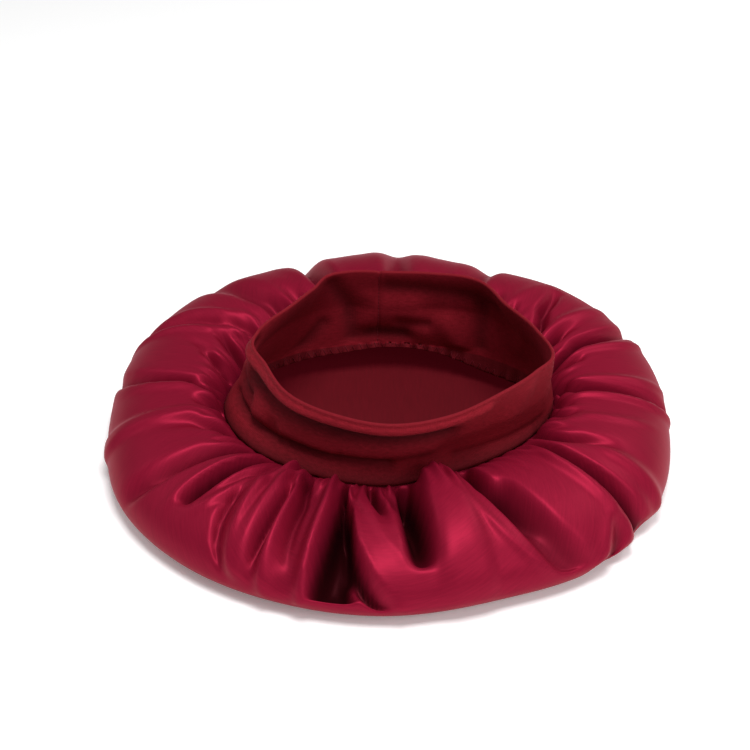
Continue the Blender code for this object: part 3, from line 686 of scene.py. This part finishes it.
BAND_LENGTH = 0.53  # m, of the flat strip
BAND_DEPTH = 0.064  # m, from its fold to its overlocked edge
BAND_HALF_THICKNESS = 1.0  # mm
BAND_COLUMNS = ("bearing", "rim_radius", "rim_height", "foot_in", "buckle_in", "edge_drop")
BAND_SECTIONS = np.array((  # edge_drop is how far the overlocked edge hangs below the seam
    (-180, 75.5, 81, 3.5, 1.0, 6),
    (-171, 78.5, 81, 4.0, 1.5, 6),
    (-157, 75.5, 80, 4.0, 3.0, 6),
    (-135, 79.0, 79, 4.0, 5.0, 6),
    (-112, 80.5, 79, 3.5, 6.5, 6),
    (-90, 83.5, 79, 3.5, 7.0, 6),
    (-68, 82.0, 79, 3.5, 6.0, 6),
    (-45, 82.0, 80, 3.0, 4.0, 6),
    (-25, 88.5, 81, 2.0, 1.5, 7),
    (-15, 93.5, 82, 1.0, 0.0, 8),
    (0, 83.5, 82, 1.0, -2.0, 9),
    (22, 72.5, 82, 2.0, -5.0, 11),
    (45, 74.0, 82, 3.0, -5.0, 11),
    (68, 66.5, 81, 4.0, -3.0, 4),
    (90, 64.5, 80, 3.0, -2.0, 2.5),
    (112, 69.0, 80.5, 2.0, -3.0, 5),
    (122, 69.5, 81, 2.0, -4.0, 5.5),
    (135, 63.5, 81, 3.0, -5.0, 6),
    (157, 64.0, 81, 5.0, -3.0, 6),
))
rim_radius, rim_height, foot_in, buckle_in, edge_drop = (
    ring_of(BAND_SECTIONS, BAND_COLUMNS, name) for name in BAND_COLUMNS[1:]
)
# The cloth's own buckles, each along a line on the wall; up is 0 at the seam and 1 at the rim.
# Its half width and its height are in mm, and a height below 0 is a dent towards the hollow.
WALL_HEIGHT = 58.0  # mm, about, for distances on the wall
WALL_RADIUS = 78.0
BUCKLE_COLUMNS = ("bearing", "up", "end_bearing", "end_up", "half_width", "height")
BUCKLES = (
    (-178, 0.90, -128, 0.90, 4.5, 3.4),
    (-122.5, 0.90, -50, 0.90, 4.0, 2.8),
    (-178, 0.46, -168, 0.44, 6.0, -5.0),
    (-170, 0.66, -126, 0.62, 6.0, -6.5),
    (-118, 0.61, -64, 0.60, 6.5, -7.5),
    (-159, 0.36, -155, 0.38, 6.0, 3.0),
    (-142, 0.37, -118, 0.34, 5.5, 3.5),
    (-178, 0.24, -146, 0.17, 4.0, -4.5),
    (-140, 0.19, -92, 0.20, 4.5, -4.5),
    (-110, 0.36, -72, 0.38, 6.0, 3.0),
    (-58, 0.14, -14, 0.12, 4.0, -2.5),
    (-34, 0.55, -30, 0.80, 7.0, 1.5),
    (90, 0.80, 38, 0.72, 6.5, 2.0),
    (79, 0.50, 93, 0.50, 9.0, -3.2),
    (72, 0.30, 85, 0.32, 4.0, 1.8),
    (84, 0.14, 99, 0.16, 6.5, 3.2),
    (48, 0.05, 47, 0.60, 5.0, 1.8),
    (119, 0.90, 109, 0.50, 5.5, 2.0),
    (108.5, 0.36, 107, 0.00, 5.5, 2.2),
    (101, 0.30, 101, 0.65, 6.0, -1.5),
    (121, 0.32, 136, -0.10, 4.5, 2.0),
    (62, 0.35, 57, 0.05, 7.0, -2.0),
    (28, 0.30, 22, 0.60, 6.0, -1.5),
)
WALL_EASE = 0.09  # share of the way up over which buckles fade at the seam and at the rim
FOOT_REACH = 0.5  # share of the way up where the tucked-in foot ends
JOIN_BEARING = 95.5
JOIN_DEPTH = 0.9  # mm that the join seam's ridge stands out
JOIN_HALF_WIDTH = 1.1  # mm
JOIN_DIP = 1.4  # mm that the rim dips at the seam for each mm of its ridge


def buckled(bearing, up):
    """How far the wall is pushed out at each place, in mm."""
    total = np.zeros(np.broadcast(bearing, up).shape)
    for row in BUCKLES:
        fold = dict(zip(BUCKLE_COLUMNS, row))
        begin = np.array((math.radians(fold["bearing"]) * WALL_RADIUS, fold["up"] * WALL_HEIGHT))
        end = np.array((math.radians(fold["end_bearing"]) * WALL_RADIUS, fold["end_up"] * WALL_HEIGHT))
        past = (bearing - fold["bearing"] + 180) % 360 - 180
        place = np.stack(np.broadcast_arrays(
            begin[0] + np.radians(past) * WALL_RADIUS, up * WALL_HEIGHT
        ), axis=-1)
        along = np.clip((place - begin) @ (end - begin) / ((end - begin) @ (end - begin)), 0, 1)
        apart = np.linalg.norm(place - begin - along[..., None] * (end - begin), axis=-1)
        total += fold["height"] * np.exp(-((apart / fold["half_width"]) ** 2))
    return total * smooth((1 - up) / WALL_EASE) * smooth(up / WALL_EASE)


def band_wall(bearing, up):
    """Radius and height of the middle of the band's wall; up is 0 at the seam, 1 at the rim."""
    foot_radius = at_bearing(seam_radius, bearing)
    foot_height = at_bearing(seam_height, bearing)
    foot = at_bearing(foot_in, bearing) * np.sin(math.pi * np.clip(up / FOOT_REACH, 0, 1))
    buckle = at_bearing(buckle_in, bearing) * np.sin(math.pi * up)
    radius = foot_radius + (at_bearing(rim_radius, bearing) - foot_radius) * smooth(up) - foot - buckle
    height = foot_height + (at_bearing(rim_height, bearing) - foot_height) * up
    apart = np.abs((bearing - JOIN_BEARING + 180) % 360 - 180) * math.radians(WALL_RADIUS)
    join = JOIN_DEPTH * np.exp(-((apart / JOIN_HALF_WIDTH) ** 2))
    last_eighth = np.clip(up * 8 - 7, 0, 1)
    return radius + buckled(bearing, up) + join, height - JOIN_DIP * join * last_eighth


BAND_COUNT = 540  # points round the band
WALL_STATIONS = 34  # up each face
RIM_STATIONS = 9  # over the fold at the rim
EDGE_STATIONS = 8  # down each side of the overlocked edge
RISE_STEP = 0.02  # of up, from a place to those that give the wall's slope there
EDGE_RUFFLE = 1.1  # mm that the overlocked edge waves in and out
EDGE_SCALLOP = 0.5  # mm that it waves up and down
EDGE_LEAN = 1.0  # mm that it leans in
EDGE_SUM = 2.5  # about the size of the edge's six waves together
EDGE_COUNTS = 30, 80  # least and most waves round the edge
edge_rng = np.random.default_rng(8)
EDGE_WAVES = [
    (int(edge_rng.integers(*EDGE_COUNTS)), edge_rng.uniform(0, 2 * math.pi)) for _ in range(6)
]


def band_surface(bearing, up):
    """The middle of the wall; up from -1 to 0 is the overlocked edge that hangs below the seam."""
    radius, height = band_wall(bearing, np.maximum(up, 0.0))
    below = np.maximum(-up, 0.0)
    ruffle = sum(np.sin(waves * np.radians(bearing) + phase) for waves, phase in EDGE_WAVES) / EDGE_SUM
    radius = radius + below * (EDGE_RUFFLE * ruffle - EDGE_LEAN)
    return radius, height - below * (at_bearing(edge_drop, bearing) + EDGE_SCALLOP * ruffle)


def band_face(bearing, up, to_side, to_top):
    """Points on the band's surface, in metres: to_side 1 is its outer face and -1 its inner one."""
    radius, height = band_surface(bearing, up)
    before = band_surface(bearing, np.maximum(up - RISE_STEP, -1))
    after = band_surface(bearing, np.minimum(up + RISE_STEP, 1))
    rise = np.array(after) - np.array(before)
    rise /= np.hypot(*rise)
    radius = radius + BAND_HALF_THICKNESS * (rise[1] * to_side + rise[0] * to_top)
    height = height + BAND_HALF_THICKNESS * (-rise[0] * to_side + rise[1] * to_top)
    return placed(bearing, radius, height)


# One way round the band's section: up the outer face, over the rim, down the inner face and the
# overlocked edge, and back up the edge's other side.
EDGE_BACK = -0.1  # to_side there: the edge is about half as thick as the wall
bearings = 360 * np.arange(BAND_COUNT) / BAND_COUNT
climb = np.linspace(0, 1, WALL_STATIONS)
hang = -np.linspace(0, 1, EDGE_STATIONS + 1)[1:]
roll = np.linspace(0, math.pi, RIM_STATIONS + 2)[1:-1]
SECTION = list(zip(  # up, to_side and to_top at each station
    np.concatenate((climb, np.ones(RIM_STATIONS), climb[::-1], hang, hang[::-1])),
    np.concatenate((
        np.ones(WALL_STATIONS), np.cos(roll), -np.ones(WALL_STATIONS),
        -np.ones(EDGE_STATIONS), EDGE_BACK * np.ones(EDGE_STATIONS),
    )),
    np.concatenate((
        np.zeros(WALL_STATIONS), np.sin(roll), np.zeros(WALL_STATIONS + 2 * EDGE_STATIONS),
    )),
))

# Painted shade: what is made darker, because little light reaches it, as shares of the darkest colour.
OUTER_PAINTED_SHADE = 9.0  # mm of dent at full painted shade on the outer face
INNER_PAINTED_SHADE = 5.0  # mm of buckle at full painted shade on the inner face
# the most painted shade that a crease gets
DARKEST_PAINTED_CREASE = 0.75
RIM_PAINTED_SHADE = 0.22  # painted shade over the fold at the rim, which dims its lit top
EDGE_PAINTED_SHADE = 0.45  # painted shade, as the overlocked edge hangs in the hollow's shade
FOOT_PAINTED_SHADE = 0.6  # painted shade round the foot, where the satin's gathers stand
FOOT_PAINTED_SHADE_REACH = 0.16  # share of the way up where that painted shade ends
band_points = []
band_painted_shades = []
for up, to_side, to_top in SECTION:
    band_points.append(band_face(bearings, np.full(BAND_COUNT, up), to_side, to_top))
    dent = -buckled(bearings, np.full(BAND_COUNT, max(up, 0.0))) * math.copysign(1, to_side)
    # painted shade in the wall's dents, round the foot, over the rim and on the hanging edge
    crease = np.clip(dent / (OUTER_PAINTED_SHADE if to_side > 0 else INNER_PAINTED_SHADE), 0, DARKEST_PAINTED_CREASE)
    if to_side > 0:
        crease = np.maximum(crease, FOOT_PAINTED_SHADE * (1 - smooth(up / FOOT_PAINTED_SHADE_REACH)))
    band_painted_shades.append(np.maximum(crease, RIM_PAINTED_SHADE * to_top + EDGE_PAINTED_SHADE * (up < 0)))
rings = len(SECTION)
band_faces = [
    (
        j * BAND_COUNT + k,
        j * BAND_COUNT + (k + 1) % BAND_COUNT,
        (j + 1) % rings * BAND_COUNT + (k + 1) % BAND_COUNT,
        (j + 1) % rings * BAND_COUNT + k,
    )
    for j in range(rings)
    for k in range(BAND_COUNT)
]
band = add_mesh("stretch_band_cloth", np.concatenate(band_points), band_faces)
band.data.shade_smooth()
add_painted_shade(band, "crease_painted_shade", np.concatenate(band_painted_shades))
corner = corner_points(band)
face_of = np.repeat(np.arange(len(band_faces)), 4)
closing = (face_of % BAND_COUNT == BAND_COUNT - 1) & (corner % BAND_COUNT == 0)
along_strip = np.where(closing, 1.0, (corner % BAND_COUNT) / BAND_COUNT) * BAND_LENGTH
across_strip = corner // BAND_COUNT / (rings - 1) * 2 * BAND_DEPTH
add_cut_map(band, "knit", np.column_stack((along_strip, across_strip)))

# The jersey: matte, slightly heathered along its courses, with the fine ribs of its wales, and with
# painted shade that darkens it down in its creases, on its hanging edge and round its foot, where little
# light reaches, and over its rim.
jersey, tree, shader = new_material("wine red stretch jersey")
heather = threads(tree, "knit", (250, 1100), 3.0, 0.6)
knit_uv = add_node(tree, "ShaderNodeUVMap", {"uv_map": "knit"})
wales = add_node(
    tree, "ShaderNodeTexWave", {"wave_type": "BANDS", "bands_direction": "X"},
    links={"Vector": knit_uv.outputs["UV"]}, Scale=330.0, Distortion=0.6, Detail=1.0,
)
relief = add_node(
    tree, "ShaderNodeMath", {"operation": "MULTIPLY_ADD"}, links={0: heather, 2: wales.outputs["Fac"]}
)
relief.inputs[1].default_value = 1.2
crease = add_node(tree, "ShaderNodeAttribute", {"attribute_name": "crease_painted_shade"})
colour = between(tree, heather, ("#740C19", "#8A1524"))
# painted shade: the colour goes over to a dark red where the painted shade attribute is high
colour_in_painted_shade = with_painted_shade(tree, colour, crease.outputs["Fac"], "#2A0508")
tree.links.new(colour_in_painted_shade, shader.inputs["Base Color"])
tree.links.new(bumped(tree, relief.outputs["Value"], 0.35, 0.00025), shader.inputs["Normal"])
shader.inputs["Roughness"].default_value = 0.85
shader.inputs["Specular IOR Level"].default_value = 0.15
shader.inputs["Sheen Weight"].default_value = 0.04
shader.inputs["Sheen Roughness"].default_value = 0.5
shader.inputs["Sheen Tint"].default_value = linear("#C03048")
band.data.materials.append(jersey)
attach(band, "root")
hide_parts("stretch_band")

# --- The stitches ----------------------------------------------------------------------------
# Spun polyester thread, sewn by an overlocker over the band's edge inside the hollow, and as one
# upright row down the band's join seam.

STITCH_STEP = 2.3  # mm, from one stitch to the next
OVERLOCK_WIDTH = 4.6  # mm
OVERLOCK_SLANT = 0.42  # sideways, as a share of the stitch's height
HIGHEST_OVERLOCK = 0.1  # share of the overlocked edge's drop above which no stitch's middle lies
THREAD_RADIUS = 0.17  # mm
THREAD_ARCH = 5.0  # height of a stitch's middle control point, in thread radii
SIZE_RANGE = 0.9, 1.08  # stitches differ this much
STITCH_LIFT = 0.05  # mm off the cloth
JOIN_FROM, JOIN_TO = 0.04, 0.97  # of the way up the wall, where the join's row lies
JOIN_STITCH = 0.8  # length of its stitches, as a share of the step
ROUND_STEP = 0.5  # degrees, from a stitch to the place that gives the way round


def stitch_nodes():
    """Arched threads on the points of a mesh, laid along its "along" and standing on its "out"."""
    tree = bpy.data.node_groups.new("stitches", "GeometryNodeTree")
    for name, kind, way in (
        ("Geometry", "NodeSocketGeometry", "INPUT"), ("Stitch Length", "NodeSocketFloat", "INPUT"),
        ("Thread Radius", "NodeSocketFloat", "INPUT"), ("Seed", "NodeSocketInt", "INPUT"),
        ("Material", "NodeSocketMaterial", "INPUT"), ("Geometry", "NodeSocketGeometry", "OUTPUT"),
    ):
        tree.interface.new_socket(name, in_out=way, socket_type=kind)
    given = add_node(tree, "NodeGroupInput").outputs

    def times(socket, factor):
        product = add_node(tree, "ShaderNodeMath", {"operation": "MULTIPLY"}, {0: socket})
        product.inputs[1].default_value = factor
        return product.outputs[0]

    half = times(given["Stitch Length"], 0.5)
    start = add_node(tree, "ShaderNodeCombineXYZ", links={"X": times(half, -1.0)})
    middle = add_node(
        tree, "ShaderNodeCombineXYZ", links={"Z": times(given["Thread Radius"], THREAD_ARCH)}
    )
    end = add_node(tree, "ShaderNodeCombineXYZ", links={"X": half})
    thread = add_node(tree, "GeometryNodeCurveQuadraticBezier", links={
        "Start": start.outputs[0], "Middle": middle.outputs[0], "End": end.outputs[0],
    }, Resolution=5)
    across = add_node(
        tree, "GeometryNodeCurvePrimitiveCircle", links={"Radius": given["Thread Radius"]}, Resolution=6
    )
    tube = add_node(tree, "GeometryNodeCurveToMesh", links={
        "Curve": thread.outputs[0], "Profile Curve": across.outputs[0],
    }, Fill_Caps=True)
    along, out = (
        add_node(tree, "GeometryNodeInputNamedAttribute", {"data_type": "FLOAT_VECTOR"}, Name=name)
        for name in ("along", "out")
    )
    lie = add_node(tree, "FunctionNodeAlignRotationToVector", {"axis": "X"}, {"Vector": along.outputs[0]})
    stand = add_node(
        tree, "FunctionNodeAlignRotationToVector", {"axis": "Z", "pivot_axis": "X"},
        {"Rotation": lie.outputs[0], "Vector": out.outputs[0]},
    )
    vary = add_node(tree, "FunctionNodeRandomValue", {"data_type": "FLOAT"}, {"Seed": given["Seed"]})
    vary.inputs[2].default_value, vary.inputs[3].default_value = SIZE_RANGE
    place = add_node(tree, "GeometryNodeInstanceOnPoints", links={
        "Points": given["Geometry"], "Instance": tube.outputs[0], "Rotation": stand.outputs[0],
        "Scale": vary.outputs[1],
    })
    real = add_node(tree, "GeometryNodeRealizeInstances", links={"Geometry": place.outputs[0]})
    dyed = add_node(tree, "GeometryNodeSetMaterial", links={
        "Geometry": real.outputs[0], "Material": given["Material"],
    })
    add_node(tree, "NodeGroupOutput", links={"Geometry": dyed.outputs[0]})
    return tree


# The thread: spun polyester in the cloth's own red, a little glossier than the jersey round it.
thread_dye, tree, shader = new_material("wine red sewing thread")
ply = add_node(tree, "ShaderNodeTexCoord")
ply_noise = add_node(tree, "ShaderNodeTexNoise", links={"Vector": ply.outputs["Object"]}, Scale=1500.0)
colour = between(tree, ply_noise.outputs["Fac"], ("#5C0814", "#7E1226"), ends=(0, 1))
tree.links.new(colour, shader.inputs["Base Color"])
shader.inputs["Roughness"].default_value = 0.6
shader.inputs["Specular IOR Level"].default_value = 0.3
stitches = stitch_nodes()


def sewn(name, points, along, out, length, seed):
    """Stitches on the points, as one plain mesh that takes its place on the bonnet."""
    seam = add_mesh(name + "_points", points, [])
    for key, vectors in (("along", along), ("out", out)):
        vectors = vectors / np.linalg.norm(vectors, axis=1)[:, None]
        values = seam.data.attributes.new(key, "FLOAT_VECTOR", "POINT")
        values.data.foreach_set("vector", vectors.astype(np.float32).ravel())
    rows = seam.modifiers.new("stitches", "NODES")
    rows.node_group = stitches
    given = {
        "Stitch Length": length * MM, "Thread Radius": THREAD_RADIUS * MM, "Seed": seed,
        "Material": thread_dye,
    }
    for socket in stitches.interface.items_tree:
        if socket.in_out == "INPUT" and socket.name in given:
            rows[socket.identifier] = given[socket.name]
    graph = bpy.context.evaluated_depsgraph_get()
    mesh = bpy.data.meshes.new_from_object(seam.evaluated_get(graph))
    bpy.data.objects.remove(seam, do_unlink=True)
    mesh.name = name
    obj = bpy.data.objects.new(name, mesh)
    bpy.context.scene.collection.objects.link(obj)
    obj.data.shade_smooth()
    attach(obj, "root")


def face_frame(bearing, up, to_side):
    """Points of one face of the band, with its directions up, round and out of the face."""
    here = band_face(bearing, up, to_side, 0)
    rise = band_face(bearing, up + RISE_STEP, to_side, 0) - here
    way_round = band_face(bearing + ROUND_STEP, up, to_side, 0) - here
    rise, way_round = (v / np.linalg.norm(v, axis=1)[:, None] for v in (rise, way_round))
    return here, rise, way_round, np.cross(way_round, rise) * to_side


stitch_count = 2 * round(math.pi * WALL_RADIUS / STITCH_STEP)
stitch_bearing = 360 * (np.arange(stitch_count) + 0.5) / stitch_count
drop = at_bearing(edge_drop, stitch_bearing)
here, rise, way_round, out = face_frame(
    stitch_bearing, -np.clip(1 - 0.5 * OVERLOCK_WIDTH / drop, HIGHEST_OVERLOCK, 1), -1
)
slant = np.where(np.arange(stitch_count) % 2, OVERLOCK_SLANT, -OVERLOCK_SLANT)[:, None]
here = here + out * STITCH_LIFT * MM
sewn("overlock_stitches", here, rise + slant * way_round, out, OVERLOCK_WIDTH, 4)

join_up = np.arange(JOIN_FROM, JOIN_TO, STITCH_STEP / WALL_HEIGHT)
here, rise, way_round, out = face_frame(np.full(len(join_up), JOIN_BEARING), join_up, -1)
sewn("join_stitches", here + out * STITCH_LIFT * MM, rise, out, STITCH_STEP * JOIN_STITCH, 5)

# --- Studio ----------------------------------------------------------------------------------
# A pale floor, white surroundings, four large soft lights and a camera at the photo's angle. The
# floor glows a little, because the photo's backdrop is overexposed to white.

floor = add_square("floor", 3, 0)
paper, tree, shader = new_material("pale studio floor")
shader.inputs["Base Color"].default_value = linear("#FFFFFF")
shader.inputs["Roughness"].default_value = 0.9
shader.inputs["Emission Color"].default_value = linear("#FFFFFF")
shader.inputs["Emission Strength"].default_value = 0.15
floor.data.materials.append(paper)

bpy.context.scene.view_settings.view_transform = "Standard"
world = bpy.data.worlds.new("studio")
bpy.context.scene.world = world
world.use_nodes = True
world.node_tree.nodes["Background"].inputs["Color"].default_value = linear("#FFFFFF")
world.node_tree.nodes["Background"].inputs["Strength"].default_value = 0.25

STUDIO_LIGHTS = (  # place in metres, size in metres, watts
    ((0.05, -0.35, 1.25), 0.5, 13.2),
    ((0.75, -0.85, 0.8), 0.6, 4.0),
    ((0.8, 0.4, 0.9), 0.5, 3.5),
    ((-0.9, 0.2, 0.8), 0.5, 1.3),
)
AIM = Vector((0, 0, 0.03))  # m, where the lights point
for place, size, watts in STUDIO_LIGHTS:
    lamp = bpy.data.lights.new("softbox", "AREA")
    lamp.size = size
    lamp.energy = watts
    softbox = bpy.data.objects.new("softbox", lamp)
    softbox.location = place
    softbox.rotation_euler = (AIM - softbox.location).to_track_quat("-Z", "Y").to_euler()
    bpy.context.scene.collection.objects.link(softbox)

CAMERA_PLACE = (-0.00914, -0.88916, 0.6942)  # m
CAMERA_TILT = 54  # degrees up from straight down
lens = bpy.data.cameras.new("camera")
lens.lens = 91.03
lens.sensor_width = 36
camera = bpy.data.objects.new("camera", lens)
camera.location = CAMERA_PLACE
camera.rotation_euler = (math.radians(CAMERA_TILT), 0, 0)
bpy.context.scene.collection.objects.link(camera)
bpy.context.scene.camera = camera
